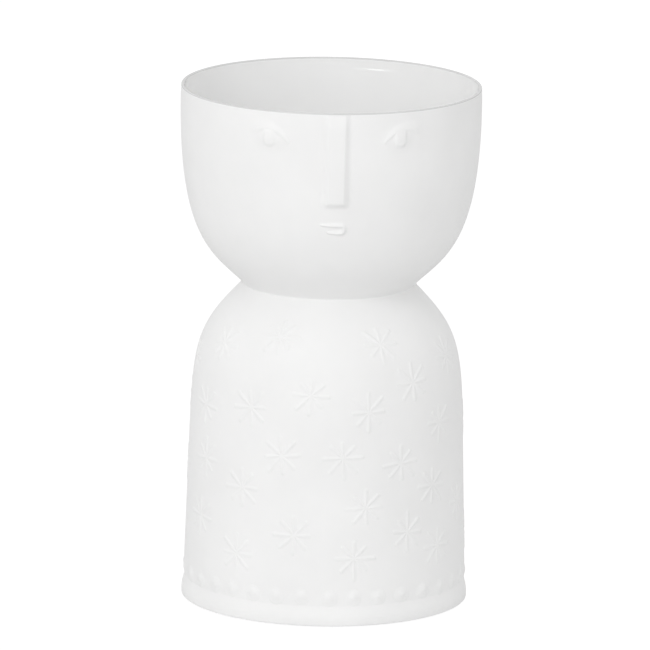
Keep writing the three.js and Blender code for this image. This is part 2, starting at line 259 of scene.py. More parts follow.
class VaseRelief(bpy.types.PropertyGroup):
    """Sizes of the pieces in relief."""

    nose_width: length("Nose width", "Across the nose, from foot to foot", 10.9)
    nose_root_drop: length("Nose root drop", "From the rim to the top of the nose", 0.4)
    nose_tip_drop: length("Nose tip drop", "From the rim to the foot of the nose's end", 32.8)
    nose_root_relief: length("Nose root relief", "Thickness at the top", 1.1)
    nose_tip_relief: length("Nose tip relief", "Thickness at the end", 1.45)
    nose_root_edge: length("Nose root edge", "Width of the soft sides at the top", 2.2)
    nose_tip_edge: length("Nose tip edge", "Width of the soft sides at the end", 3.4)
    nose_end: length("Nose end", "Length of the soft end", 3.0)
    nose_corner: length("Nose corner", "Radius of the corners at the end", 3.0)
    nose_fade: length("Nose fade", "Length over which it rises at the top", 4.5)
    eye_drop: length("Eye drop", "From the rim to the corners of the eye", 10.1)
    eye_width: length("Eye width", "From corner to corner", 14)
    lid_rise: length("Lid rise", "Of the lid's crest over the inner corner", 4.4)
    lid_width: length("Lid width", "Across the lid's ridge by the nose", 2.4)
    lid_relief: length("Lid relief", "Height of the lid's ridge by the nose", 0.34)
    lid_outer_rise: length("Lid rise, outside", "Of the lid's outer end over the inner corner", 1.4)
    lid_outer_width: length("Lid width, outside", "Across the lid's ridge on its outer side", 4.6)
    lid_outer_relief: length("Lid relief, outside", "Height of the lid's ridge on its outer side", 0.42)
    iris_radius: length("Iris radius", "Of the round iris, at its foot", 2.6)
    iris_edge: length("Iris edge", "Width of the iris's soft edge", 1.3)
    iris_hang: length("Iris hang", "Of the iris below the corners", 2.3)
    iris_relief: length("Iris relief", "Height of the iris", 0.36)
    iris_glance: length("Iris glance", "Of both irises towards the left of the face", 0.5)
    iris_squint: length("Iris squint", "Of both irises towards the nose", 1.0)
    lid_fade: factor("Lid fade", "Share of the lid over which its outer end runs out", 0.24)
    lid_brow: factor("Lid brow", "How much more slowly the lid runs out upwards", 0.5)
    ball_relief: length("Eyeball relief", "Height of the soft swelling under the iris", 0.6)
    ball_outside: length("Eyeball, outside", "From the iris to where it runs out towards the temple", 6.2)
    ball_inside: length("Eyeball, inside", "From the iris to where it runs out towards the nose", 9.0)
    ball_height: length("Eyeball height", "From the iris to where it runs out above and below", 5.2)
    eye_unlike: factor("Eyes unlike", "How much bolder than the mean the right eye is", 0.1)
    mouth_drop: length("Mouth drop", "From the rim to the middle of the mouth", 39.15)
    mouth_shift: length("Mouth shift", "Of the middle of the mouth towards the right of the face", 0.3)
    mouth_right: length("Mouth, right", "From the middle to where the lips turn", 1.3)
    mouth_turn: length("Mouth turn", "How far the lips' turn bows out", 1.8)
    lips_apart: length("Lips apart", "From crest to crest of the lips", 2.7)
    upper_lip_left: length("Upper lip, left", "From the middle to the end of the upper lip", 4.8)
    upper_lip_tail: length("Upper lip tail", "Of its left end over the rest", 0.12)
    lower_lip_left: length("Lower lip, left", "From the middle to the end of the lower lip", 2.6)
    lower_lip_tail: length("Lower lip tail", "Of its left end over the rest", 0.15)
    lip_width: length("Lip width", "Across the ridge of each lip", 2.5)
    lip_relief: length("Lip relief", "Height of the lips", 0.8)
    star_radius: length("Star radius", "From the hub to the ray tips", 8.0)
    star_rays: IntProperty(name="Star rays", description="Rays of each star", default=8, min=3)
    ray_width: length("Ray width", "Across a ray's ridge at its outer end", 2.0)
    ray_relief: length("Ray relief", "Height of a ray's ridge", 0.24)
    star_hub: length("Star hub", "Radius inside which all the rays are alike", 2.2)
    bead_radius: length("Bead radius", "Of the beads above the hem", 2.7)
    bead_relief: length("Bead relief", "Height of the beads", 0.45)
    bead_pitch: length("Bead pitch", "From bead to bead", 8.7)


class VaseFinish(bpy.types.PropertyGroup):
    """Colours of the porcelain."""

    bisque_light: colour("Bisque, light", "Matt porcelain where it is cleanest", (0.865, 0.865, 0.862))
    bisque_shade: colour("Bisque, shade", "Matt porcelain where it is cloudy", (0.835, 0.835, 0.832))
    glaze_light: colour("Glaze, light", "Glazed inside where the glaze is thin", (0.915, 0.915, 0.912))
    glaze_shade: colour("Glaze, shade", "Glazed inside where the glaze pools", (0.895, 0.895, 0.892))
    # The lip's colours: two darker greys, clouded by noise, used only on the rounding of the lip
    lip_light: colour("Lip, light", "Where the glaze breaks on the lip", (0.68, 0.68, 0.678))
    lip_shade: colour("Lip, shade", "Where the glaze is gone from the lip", (0.63, 0.63, 0.628))


class VaseStudio(bpy.types.PropertyGroup):
    """Camera, lights and floor."""

    camera_distance: length("Camera distance", "From the vase's axis", 3423)
    camera_turn: angle("Camera turn", "Round from the face", -2.2)
    camera_rise: angle("Camera rise", "Above the horizon", 12.3)
    camera_roll: angle("Camera roll", "Of the picture", 0.911)
    picture_width: length("Picture width", "Across the picture at the vase's axis", 216.6)
    picture_left: length("Picture left", "From the vase's middle to the picture's, leftwards", 0.88)
    picture_up: length("Picture up", "From the vase's middle to the picture's, upwards", 5.25)
    sky_strength: factor("Sky", "Strength of the even light", 0.86)
    front_power: power("Front light", "Of the softbox by the camera", 3.9)
    side_power: power("Side light", "Of the softbox on the left", 6.3)
    front_rise: angle("Front light rise", "Above the horizon", 15)
    side_rise: angle("Side light rise", "Above the horizon", 30)
    side_turn: angle("Side light turn", "Round from the face", -35)
    light_distance: length("Light distance", "Of each softbox from the vase", 2000)
    front_size: length("Front light size", "Of the softbox by the camera", 1200)
    side_size: length("Side light size", "Of the softbox on the left", 700)
    plate_glow: factor("Plate glow", "Of the lit plate under the vase", 0.05)
    plate_inner: length("Plate glow, inside", "Radius at which it starts to fade", 55)
    plate_outer: length("Plate glow, outside", "Radius at which it is gone", 90)


class Wall:
    """The outside of a turned wall, sampled closely along its outline from the foot upwards."""

    def __init__(self, *curves):
        self.points = np.concatenate([curve[:-1] for curve in curves] + [curves[-1][-1:]])
        steps = np.linalg.norm(np.diff(self.points, axis=0), axis=1)
        self.distances = np.concatenate([[0.0], np.cumsum(steps)])
        rise = np.gradient(self.points, self.distances, axis=0)
        rise /= np.linalg.norm(rise, axis=1)[:, None]
        self.outward = np.stack([rise[:, 1], -rise[:, 0]], axis=1)
        self.length = self.distances[-1]

    def along(self, values, distance):
        """Both columns of a sampled pair at distances along the wall."""
        first = np.interp(distance, self.distances, values[:, 0])
        second = np.interp(distance, self.distances, values[:, 1])
        return first, second

    def distance_at(self, height):
        return float(np.interp(height, self.points[:, 1], self.distances))

    def outline(self, steps, thickness=0.0):
        """Points up the whole wall, moved inwards by a thickness."""
        return self.inside(np.linspace(0.0, self.length, steps + 1), thickness)

    def inside(self, distance, thickness):
        """Points of radius and height at distances along the wall, moved inwards by a thickness."""
        radius, height = self.along(self.points, distance)
        out_radius, out_height = self.along(self.outward, distance)
        return np.stack([radius - thickness * out_radius, height - thickness * out_height], axis=1)

    def laid(self, flat, start, azimuth):
        """Lays flat points on the wall: x runs round it, y up it from the start, z out of it."""
        distance = start + flat[:, 1]
        radius, height = self.along(self.points, distance)
        out_radius, out_height = self.along(self.outward, distance)
        turn = azimuth + flat[:, 0] / radius
        reach = radius + flat[:, 2] * out_radius
        level = height + flat[:, 2] * out_height
        return np.stack([reach * np.sin(turn), -reach * np.cos(turn), level], axis=1)


def bezier(*corners):
    """Samples along a line or a quadratic or cubic curve of radius and height."""
    layers = [np.array(corner, float) for corner in corners]
    share = np.linspace(0.0, 1.0, CURVE_SAMPLES + 1)[:, None]
    while len(layers) > 1:
        layers = [(1.0 - share) * a + share * b for a, b in zip(layers, layers[1:])]
    return layers[0]


def arc(centre, radius, start, end, rise=None):
    """Points of a round edge, or an oval one if a rise is given, between two angles in degrees."""
    turn = np.radians(np.linspace(start, end, ARC_STEPS + 1))
    rise = radius if rise is None else rise
    return np.stack([centre[0] + radius * np.cos(turn), centre[1] + rise * np.sin(turn)], axis=1)


def body_wall(shells):
    start = np.array([shells.shoulder_radius, shells.body_height - shells.shoulder_rise])
    foot = np.array([shells.body_radius, shells.hem_top])
    line = (start - foot) / np.linalg.norm(start - foot)
    lower = start + line * shells.shoulder_fullness * shells.shoulder_rise
    ease = shells.neck_ease * shells.shoulder_rise
    neck = np.array([shells.neck_radius, shells.body_height])
    upper = neck + ease * np.array([math.cos(shells.neck_slope), -math.sin(shells.neck_slope)])
    return Wall(bezier(foot, start), bezier(start, lower, upper, neck))


def head_wall(shells):
    base = shells.body_height
    widest = base + shells.head_height - shells.widest_drop
    lip = base + shells.head_height - shells.lip_rise
    ease = shells.chin_ease * (widest - base)
    cheek = base + (1.0 - shells.cheek_fullness) * (widest - base)
    neck = np.array([shells.neck_radius, base])
    chin = neck + ease * np.array([math.cos(shells.chin_slope), math.sin(shells.chin_slope)])
    side = (shells.head_radius, widest)
    return Wall(
        bezier(neck, chin, (shells.head_radius, cheek), side),
        bezier(side, (shells.head_radius, (widest + lip) / 2), (shells.lip_radius, lip)),
    )


def new_piece(name, mesh_data, *materials):
    """A smooth shaded object, with its faces pointing out, from a finished bmesh."""
    bmesh.ops.recalc_face_normals(mesh_data, faces=mesh_data.faces)
    mesh = bpy.data.meshes.new(name)
    mesh_data.to_mesh(mesh)
    mesh_data.free()
    mesh.shade_smooth()
    mesh.set_sharp_from_angle(angle=SHARP_ANGLE)
    for material in materials:
        mesh.materials.append(material)
    piece = bpy.data.objects.new(name, mesh)
    bpy.context.scene.collection.objects.link(piece)
    return piece


def set_on_vase(piece, *nodes):
    """Fixes a piece to the vase in place of its solids."""
    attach(piece, VASE_BODY)
    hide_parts(*nodes)


def turned(profile, *zones):
    """A bmesh of a closed profile turned round the axis; each zone of steps takes the next material."""
    made = bmesh.new()
    rings = []
    for turn in TURNS:
        places = [(r * math.sin(turn), -r * math.cos(turn), z) for r, z in profile]
        rings.append([made.verts.new(place) for place in places])
    slots = {step: slot for slot, zone in enumerate(zones, 1) for step in zone}
    for ring, after in zip(rings, rings[1:] + rings[:1]):
        for step in range(len(profile)):
            follow = (step + 1) % len(profile)
            face = made.faces.new((ring[step], after[step], after[follow], ring[follow]))
            face.material_index = slots.get(step, 0)
    return made


def add_sheet(made, x, y, rise, closed=False):
    """Adds a grid of relief to a flat bmesh, joined end to end if it is closed."""
    lines = zip(x.tolist(), y.tolist(), rise.tolist())
    rows = [[made.verts.new(place) for place in zip(*line)] for line in lines]
    pairs = zip(rows, rows[1:] + (rows[:1] if closed else []))
    for row, after in pairs:
        for step in range(len(row) - 1):
            made.faces.new((row[step], row[step + 1], after[step + 1], after[step]))


def closed_relief(made):
    """Welds a flat relief sheet and gives it sides and a back inside the wall."""
    bmesh.ops.remove_doubles(made, verts=made.verts, dist=WELD_DISTANCE)
    rim = [edge for edge in made.edges if edge.is_boundary]
    sides = bmesh.ops.extrude_edge_only(made, edges=rim)["geom"]
    for vertex in sides:
        if isinstance(vertex, bmesh.types.BMVert):
            vertex.co.z = -RELIEF_BACK
    back = [edge for edge in made.edges if edge.is_boundary]
    bmesh.ops.triangle_fill(made, use_beauty=True, use_dissolve=False, edges=back)
    return made


def lay_on(made, wall, height, azimuth):
    """Bends a flat relief on to a wall, with its origin at a height and azimuth."""
    flat = np.array([vertex.co for vertex in made.verts])
    placed = wall.laid(flat, wall.distance_at(height), azimuth)
    for vertex, place in zip(made.verts, placed):
        vertex.co = place
    return made


def solid_place(node):
    """Azimuth and height of the middle of a node's solid."""
    low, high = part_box(node)
    middle = (low + high) / 2
    return math.atan2(middle.x, -middle.y), middle.z


def ridge(share):
    """Height of a soft ridge, from 1 on its crest to 0 where it runs out at a share of 1."""
    return 0.5 + 0.5 * np.cos(math.pi * np.minimum(share, 1.0))


def sunk(share):
    """How deep a relief lies under the wall past the share of 1 at which it runs out."""
    return RELIEF_SINK * np.clip((share - 1.0) / RELIEF_MARGIN, 0.0, 1.0)


def eased(share):
    """A share from 0 to 1 that starts and stops smoothly."""
    held = np.clip(share, 0.0, 1.0)
    return held * held * (3.0 - 2.0 * held)


def star_relief(relief, size, turn, dice):
    """Rays that broaden and rise outwards from a low hub, each a little unlike the next."""
    made = bmesh.new()
    hub = relief.star_hub * size
    tip = relief.ray_width / 2 * size
    across = np.linspace(-1.0 - RELIEF_MARGIN, 1.0 + RELIEF_MARGIN, RAY_STRIPS + 1)
    half_sector = math.tan(math.pi / relief.star_rays)
    for ray in range(relief.star_rays):
        reach = relief.star_radius * size * dice.uniform(RAY_SHORTEST, 1.0)
        boldness = dice.uniform(RAY_FAINTEST, 1.0)
        lean = dice.uniform(-RAY_LEAN, RAY_LEAN)
        straight = reach - tip
        along = np.concatenate([
            np.linspace(0.0, hub, HUB_STEPS + 1),
            np.linspace(hub, straight, RAY_STEPS + 1)[1:],
            straight + tip * np.linspace(0.0, 1.0 + RELIEF_MARGIN, TIP_STEPS + 1)[1:],
        ])
        past_hub = np.maximum(along - hub, 0.0)
        grown = eased(along / (HUB_GROWTH * hub))
        half = tip * (HUB_SHARE + (1.0 - HUB_SHARE) * grown)
        crest = relief.ray_relief * (HUB_SHARE + (1.0 - HUB_SHARE) * grown)
        crest *= 1.0 - (1.0 - boldness) * eased(past_hub / hub)
        spread = np.minimum((1.0 + RELIEF_MARGIN) * half, along * half_sector)
        side = spread[:, None] * across[None, :] / (1.0 + RELIEF_MARGIN)
        share = np.hypot(side, np.maximum(along - straight, 0.0)[:, None]) / half[:, None]
        rise = crest[:, None] * ridge(share) - sunk(share)
        side = side + lean * past_hub[:, None]
        bearing = turn + ray * 2.0 * math.pi / relief.star_rays
        x = along[:, None] * math.cos(bearing) - side * math.sin(bearing)
        y = along[:, None] * math.sin(bearing) + side * math.cos(bearing)
        add_sheet(made, x, y, rise)
    return closed_relief(made)


def nose_relief(relief):
    """A strip with rounded sides and end, which stands out further and softens towards its end."""
    made = bmesh.new()
    half = relief.nose_width / 2
    span = relief.nose_tip_drop - relief.nose_root_drop
    soft = relief.nose_tip_edge
    corner = relief.nose_corner
    margin = soft * RELIEF_MARGIN
    border = np.linspace(half + margin, half - soft, NOSE_EDGE_STEPS + 1)
    middle = np.linspace(half - soft, 0.0, NOSE_MIDDLE_STEPS + 1)[1:]
    across = np.concatenate([-border, -middle, middle[-2::-1], border[::-1]])
    bend = span - relief.nose_end - corner
    down = np.concatenate([
        np.linspace(0.0, bend, NOSE_LENGTH_STEPS + 1),
        np.linspace(bend, span + margin * relief.nose_end / soft, NOSE_END_STEPS + 1)[1:],
    ])
    x, drop = np.meshgrid(across, down)
    way = np.minimum(drop / span, 1.0)
    edge = relief.nose_root_edge + (soft - relief.nose_root_edge) * way
    squeezed = span - (span - drop) * edge / relief.nose_end
    out_x = np.abs(x) - (half - (soft - edge) / 2 - corner)
    out_y = squeezed - (span - corner)
    depth = corner - np.hypot(np.maximum(out_x, 0.0), np.maximum(out_y, 0.0))
    depth -= np.minimum(np.maximum(out_x, out_y), 0.0)
    thickness = relief.nose_root_relief + (relief.nose_tip_relief - relief.nose_root_relief) * way
    thickness *= NOSE_TOP + (1.0 - NOSE_TOP) * eased(drop / relief.nose_fade)
    rise = thickness * eased(depth / edge) ** NOSE_FOOT - sunk(1.0 - depth / edge)
    add_sheet(made, x, -drop, rise)
    return closed_relief(made)


def taper(way):
    """Fullness of a stroke at shares of its way, which is 1 half way along it and less at both ends."""
    return STROKE_END + (1.0 - STROKE_END) * np.sin(math.pi * way)


def stroke(x, y, path, width, crest):
    """Heights of a soft ridge of given widths and crests along a path, and the shares from it."""
    gaps = np.hypot(x[..., None] - path[:, 0], y[..., None] - path[:, 1])
    nearest = np.argmin(gaps, axis=-1)
    share = np.min(gaps, axis=-1) / (width[nearest] / 2)
    return crest[nearest] * ridge(share), share


def patch_grid(left, right, low, high):
    """Points of an even grid between four edges."""
    columns = np.linspace(left, right, round((right - left) / PATCH_STEP) + 1)
    rows = np.linspace(low, high, round((high - low) / PATCH_STEP) + 1)
    return np.meshgrid(columns, rows)


def patch(x, y, rise, share):
    """A relief on a grid, kept only where it shows and in a narrow border round that."""
    made = bmesh.new()
    add_sheet(made, x, y, rise - sunk(share))
    deep = -BURIED_SHARE * RELIEF_SINK
    buried = [face for face in made.faces if all(vertex.co.z <= deep for vertex in face.verts)]
    bmesh.ops.delete(made, geom=buried, context="FACES")
    return closed_relief(made)


def eye_relief(relief, side):
    """A lid and an iris under it, both on a soft swelling; the side is 1 right and -1 left."""
    half = relief.eye_width / 2
    crest = (0.0, relief.lid_rise)
    path = np.concatenate([
        bezier((-half, 0.0), (-LID_INNER_PULL * half, relief.lid_rise), crest),
        bezier(crest, (LID_OUTER_PULL * half, relief.lid_rise), (half, relief.lid_outer_rise)),
    ])
    way = np.linspace(0.0, 1.0, len(path))
    outward = eased((way - LID_BROADENS) / LID_BROADENING)
    width = relief.lid_width + (relief.lid_outer_width - relief.lid_width) * outward
    height = relief.lid_relief + (relief.lid_outer_relief - relief.lid_relief) * outward
    height *= eased((1.0 - way) / relief.lid_fade)
    middle = -relief.iris_glance - side * relief.iris_squint
    level = (relief.lid_rise - relief.iris_hang) / 2
    reach = (1.0 + RELIEF_MARGIN) * max(relief.ball_outside, relief.ball_inside)
    rise = (1.0 + RELIEF_MARGIN) * relief.ball_height
    x, y = patch_grid(middle - reach, middle + reach, level - rise, level + rise)
    over = np.maximum(y - np.interp(side * x, path[:, 0], path[:, 1]), 0.0)
    path[:, 0] *= side
    drawn = y - relief.lid_brow * over
    lid, lid_share = stroke(x, drawn, path, width * taper(way), height * taper(way))
    aside = x - middle
    below = np.maximum(relief.iris_radius - relief.iris_hang - y, 0.0)
    above = relief.lid_rise + relief.lid_width / 2 - y
    inset = np.minimum(relief.iris_radius - np.hypot(aside, below), above)
    iris = relief.iris_relief * eased(inset / relief.iris_edge) * eased(above / relief.lid_width)
    iris_share = 1.0 - inset / relief.iris_edge
    spread = np.where(side * aside > 0.0, relief.ball_outside, relief.ball_inside)
    ball_share = np.hypot(aside / spread, (y - level) / relief.ball_height)
    ball = relief.ball_relief * ridge(ball_share)
    bold = 1.0 + side * relief.eye_unlike
    share = np.minimum(np.minimum(lid_share, iris_share), ball_share)
    return patch(x, y, ball + bold * np.maximum(lid, iris), share)


def mouth_relief(relief):
    """Two lips in one stroke: from the long upper one round the right corner to the lower one."""
    lift = relief.lips_apart / 2
    right = relief.mouth_right
    bow = right + relief.mouth_turn
    upper_end = (-relief.upper_lip_left, lift + relief.upper_lip_tail)
    lower_end = (-relief.lower_lip_left, -lift + relief.lower_lip_tail)
    path = np.concatenate([
        bezier(upper_end, (-relief.upper_lip_left / 2, lift), (right, lift)),
        bezier((right, lift), (bow, lift), (bow, -lift), (right, -lift)),
        bezier((right, -lift), (-relief.lower_lip_left / 2, -lift), lower_end),
    ])
    edge = relief.lip_width
    x, y = patch_grid(upper_end[0] - edge, bow + edge, -lift - edge, upper_end[1] + edge)
    fullness = taper(np.linspace(0.0, 1.0, len(path)))
    lips, share = stroke(x, y, path, relief.lip_width * fullness, relief.lip_relief * fullness)
    return patch(x, y, lips, share)


def bead_relief(relief, size, lean):
    """A soft dome, a little longer one way than the other."""
    made = bmesh.new()
    turns = np.linspace(0.0, 2.0 * math.pi, BEAD_SIDES, endpoint=False)
    border = np.linspace(1.0, 1.0 + RELIEF_MARGIN, BEAD_BORDER + 1)[1:]
    share = np.concatenate([np.linspace(0.0, 1.0, BEAD_RINGS), border])
    radius = relief.bead_radius * size
    x = np.cos(turns)[:, None] * share[None, :] * radius * (1.0 + lean)
    y = np.sin(turns)[:, None] * share[None, :] * radius * (1.0 - lean)
    profile = relief.bead_relief * size * ridge(share) - sunk(share)
    rise = np.ones_like(turns)[:, None] * profile[None, :]
    add_sheet(made, x, y, rise, closed=True)
    return closed_relief(made)


def make_node(tree, kind, **values):
    """A shader node with its sockets set, each named by its label in lower case."""
    made = tree.nodes.new(kind)
    for socket in made.inputs:
        key = socket.name.lower().replace(" ", "_")
        if key in values:
            socket.default_value = values.pop(key)
    for key, value in values.items():
        setattr(made, key, value)
    return made


def noise(tree, place, scale, detail):
    """Even noise over the object, in features per metre."""
    made = make_node(tree, "ShaderNodeTexNoise", scale=scale, detail=detail, roughness=NOISE_ROUGHNESS)
    tree.links.new(place, made.inputs["Vector"])
    return made.outputs["Fac"]


def ranged(tree, value, low, high, start=NOISE_LOW, end=NOISE_HIGH):
    """A number from low to high, as a value goes from its start to its end."""
    made = make_node(tree, "ShaderNodeMapRange", from_min=start, from_max=end, to_min=low, to_max=high)
    tree.links.new(value, made.inputs["Value"])
    return made.outputs["Result"]


def tinted(tree, value, first, second):
    """A colour between two, by a value."""
    made = make_node(tree, "ShaderNodeMix", data_type="RGBA", clamp_factor=True)
    colours = [socket for socket in made.inputs if socket.type == "RGBA"]
    colours[0].default_value = (*first, 1.0)
    colours[1].default_value = (*second, 1.0)
    tree.links.new(ranged(tree, value, 0.0, 1.0), made.inputs["Factor"])
    return next(socket for socket in made.outputs if socket.type == "RGBA")


def bumped(tree, value, height, below=None):
    """A bump of a real height, over another if one is given."""
    made = make_node(tree, "ShaderNodeBump", strength=1.0, distance=height)
    tree.links.new(value, made.inputs["Height"])
    if below is not None:
        tree.links.new(below, made.inputs["Normal"])
    return made.outputs["Normal"]


def new_material(name):
    """A material with its shader and the object's own coordinates."""
    material = bpy.data.materials.new(name)
    material.use_nodes = True
    tree = material.node_tree
    place = make_node(tree, "ShaderNodeTexCoord").outputs["Object"]
    return material, tree, tree.nodes["Principled BSDF"], place


def bisque_material(finish):
    """Matt fired porcelain: faintly cloudy, with a fine dry grain and a slightly uneven face."""
    material, tree, shader, place = new_material("matt_bisque")
    clouds = noise(tree, place, scale=42.0, detail=4.0)
    grain = noise(tree, place, scale=2600.0, detail=3.0)
    waves = noise(tree, place, scale=70.0, detail=2.0)
    base = tinted(tree, clouds, finish.bisque_shade, finish.bisque_light)
    tree.links.new(base, shader.inputs["Base Color"])
    tree.links.new(ranged(tree, grain, *BISQUE_ROUGHNESS), shader.inputs["Roughness"])
    uneven = bumped(tree, waves, WAVE_HEIGHT)
    tree.links.new(bumped(tree, grain, GRAIN_HEIGHT, uneven), shader.inputs["Normal"])
    return material


def glaze_material(finish):
    """Clear glaze over white porcelain: smooth and wet, with a faint ripple."""
    material, tree, shader, place = new_material("clear_glaze")
    clouds = noise(tree, place, scale=30.0, detail=3.0)
    ripple = noise(tree, place, scale=260.0, detail=1.0)
    base = tinted(tree, clouds, finish.glaze_shade, finish.glaze_light)
    tree.links.new(base, shader.inputs["Base Color"])
    tree.links.new(ranged(tree, clouds, *GLAZE_ROUGHNESS), shader.inputs["Roughness"])
    tree.links.new(bumped(tree, ripple, RIPPLE_HEIGHT), shader.inputs["Normal"])
    return material


def lip_material(finish):
    """The lip, in a greyer and darker tone than the bisque and the glaze, clouded by noise."""
    material, tree, shader, place = new_material("broken_glaze")
    clouds = noise(tree, place, scale=90.0, detail=3.0)
    base = tinted(tree, clouds, finish.lip_shade, finish.lip_light)
    tree.links.new(base, shader.inputs["Base Color"])
    tree.links.new(ranged(tree, clouds, *LIP_ROUGHNESS), shader.inputs["Roughness"])
    return material


def shared_material(name, make):
    """The material of that name, made once from the scene's finish settings."""
    found = bpy.data.materials.get(name)
    return found or make(bpy.context.scene.vase_finish)


def bisque():
    return shared_material("matt_bisque", bisque_material)


def glaze():
    return shared_material("clear_glaze", glaze_material)


def darker_lip():
    return shared_material("broken_glaze", lip_material)


def towards(turn, rise):
    """Direction from the vase, by how far it is round from the face and above the horizon."""
    return Vector((math.sin(turn) * math.cos(rise), -math.cos(turn) * math.cos(rise), math.sin(rise)))


def facing(direction):
    """Turn of a camera or a light that looks in a direction."""
    return direction.to_track_quat("-Z", "Y").to_matrix()


class VASE_OT_studio(bpy.types.Operator):
    """Set the camera, the lights and the white floor"""

    bl_idname = "vase.studio"
    bl_label = "Studio"

    def execute(self, context):
        studio = context.scene.vase_studio
        self.add_camera(context.scene, studio)
        self.add_floor(studio)
        self.add_lights(context.scene, studio)
        context.scene.view_settings.view_transform = "Standard"
        return {"FINISHED"}

    def add_camera(self, scene, studio):
        back = towards(studio.camera_turn, studio.camera_rise)
        turn = facing(-back) @ Matrix.Rotation(studio.camera_roll, 3, "Z")
        data = bpy.data.cameras.new("photo_camera")
        data.lens = data.sensor_width * studio.camera_distance / studio.picture_width
        data.clip_end = VIEW_DEPTH
        camera = bpy.data.objects.new("photo_camera", data)
        offset = turn @ Vector((-studio.picture_left, studio.picture_up, 0.0))
        place = Vector((0.0, 0.0, CAD_MIDDLE.z)) + back * studio.camera_distance + offset
        camera.matrix_world = Matrix.Translation(place) @ turn.to_4x4()
        scene.collection.objects.link(camera)
        scene.camera = camera

    def add_floor(self, studio):
        made = bmesh.new()
        curve = bezier((FLOOR_FLAT, 0.0), (FLOOR_EDGE, 0.0), (FLOOR_EDGE, FLOOR_LIFT))
        curve = curve[:: CURVE_SAMPLES // ARC_STEPS]
        rings = []
        for radius, height in [(FLOOR_MIDDLE, 0.0), *curve.tolist()]:
            places = [(radius * math.cos(turn), radius * math.sin(turn), height) for turn in TURNS]
            rings.append([made.verts.new(place) for place in places])
        made.faces.new(rings[0])
        for ring, after in zip(rings, rings[1:]):
            for step in range(TURN_SEGMENTS):
                follow = (step + 1) % TURN_SEGMENTS
                made.faces.new((ring[step], after[step], after[follow], ring[follow]))
        floor = new_piece("studio_sweep", made, self.white_material(studio))

    def white_material(self, studio):
        """A white sweep, lit from below round the vase, which the camera sees burnt out to white."""
        material, tree, shader, place = new_material("white_sweep")
        paper = noise(tree, place, scale=9.0, detail=3.0)
        tree.links.new(ranged(tree, paper, *PAPER_ROUGHNESS), shader.inputs["Roughness"])
        shader.inputs["Base Color"].default_value = (FLOOR_WHITE, FLOOR_WHITE, FLOOR_WHITE, 1.0)
        reach = make_node(tree, "ShaderNodeVectorMath", operation="LENGTH")
        tree.links.new(place, reach.inputs[0])
        away = reach.outputs["Value"]
        glow = ranged(tree, away, studio.plate_glow, 0.0, studio.plate_inner, studio.plate_outer)
        shader.inputs["Emission Color"].default_value = (1.0, 1.0, 1.0, 1.0)
        tree.links.new(glow, shader.inputs["Emission Strength"])
        glare = make_node(tree, "ShaderNodeEmission", strength=GLARE_STRENGTH)
        ray = make_node(tree, "ShaderNodeLightPath")
        veil = make_node(tree, "ShaderNodeMath", operation="MULTIPLY")
        veil.inputs[1].default_value = GLARE_SHARE
        tree.links.new(ray.outputs["Is Camera Ray"], veil.inputs[0])
        mix = make_node(tree, "ShaderNodeMixShader")
        tree.links.new(veil.outputs["Value"], mix.inputs["Fac"])
        tree.links.new(shader.outputs["BSDF"], mix.inputs[1])
        tree.links.new(glare.outputs["Emission"], mix.inputs[2])
        tree.links.new(mix.outputs["Shader"], tree.nodes["Material Output"].inputs["Surface"])
        return material

    def add_lights(self, scene, studio):
        world = bpy.data.worlds.new("even_sky")
        world.use_nodes = True
        sky = world.node_tree.nodes["Background"]
        sky.inputs["Color"].default_value = (1.0, 1.0, 1.0, 1.0)
        sky.inputs["Strength"].default_value = studio.sky_strength
        scene.world = world
        away = towards(0.0, studio.front_rise)
        self.add_softbox(scene, "front_softbox", studio.front_power, studio.front_size, away)
        away = towards(studio.side_turn, studio.side_rise)
        self.add_softbox(scene, "side_softbox", studio.side_power, studio.side_size, away)

    def add_softbox(self, scene, name, watts, size, away):
        """A square softbox that faces the middle of the vase."""
        studio = scene.vase_studio
        data = bpy.data.lights.new(name, "AREA")
        data.shape = "SQUARE"
        data.size = size
        data.energy = watts
        box = bpy.data.objects.new(name, data)
        place = CAD_MIDDLE + away * studio.light_distance
        box.matrix_world = Matrix.Translation(place) @ facing(-away).to_4x4()
        scene.collection.objects.link(box)


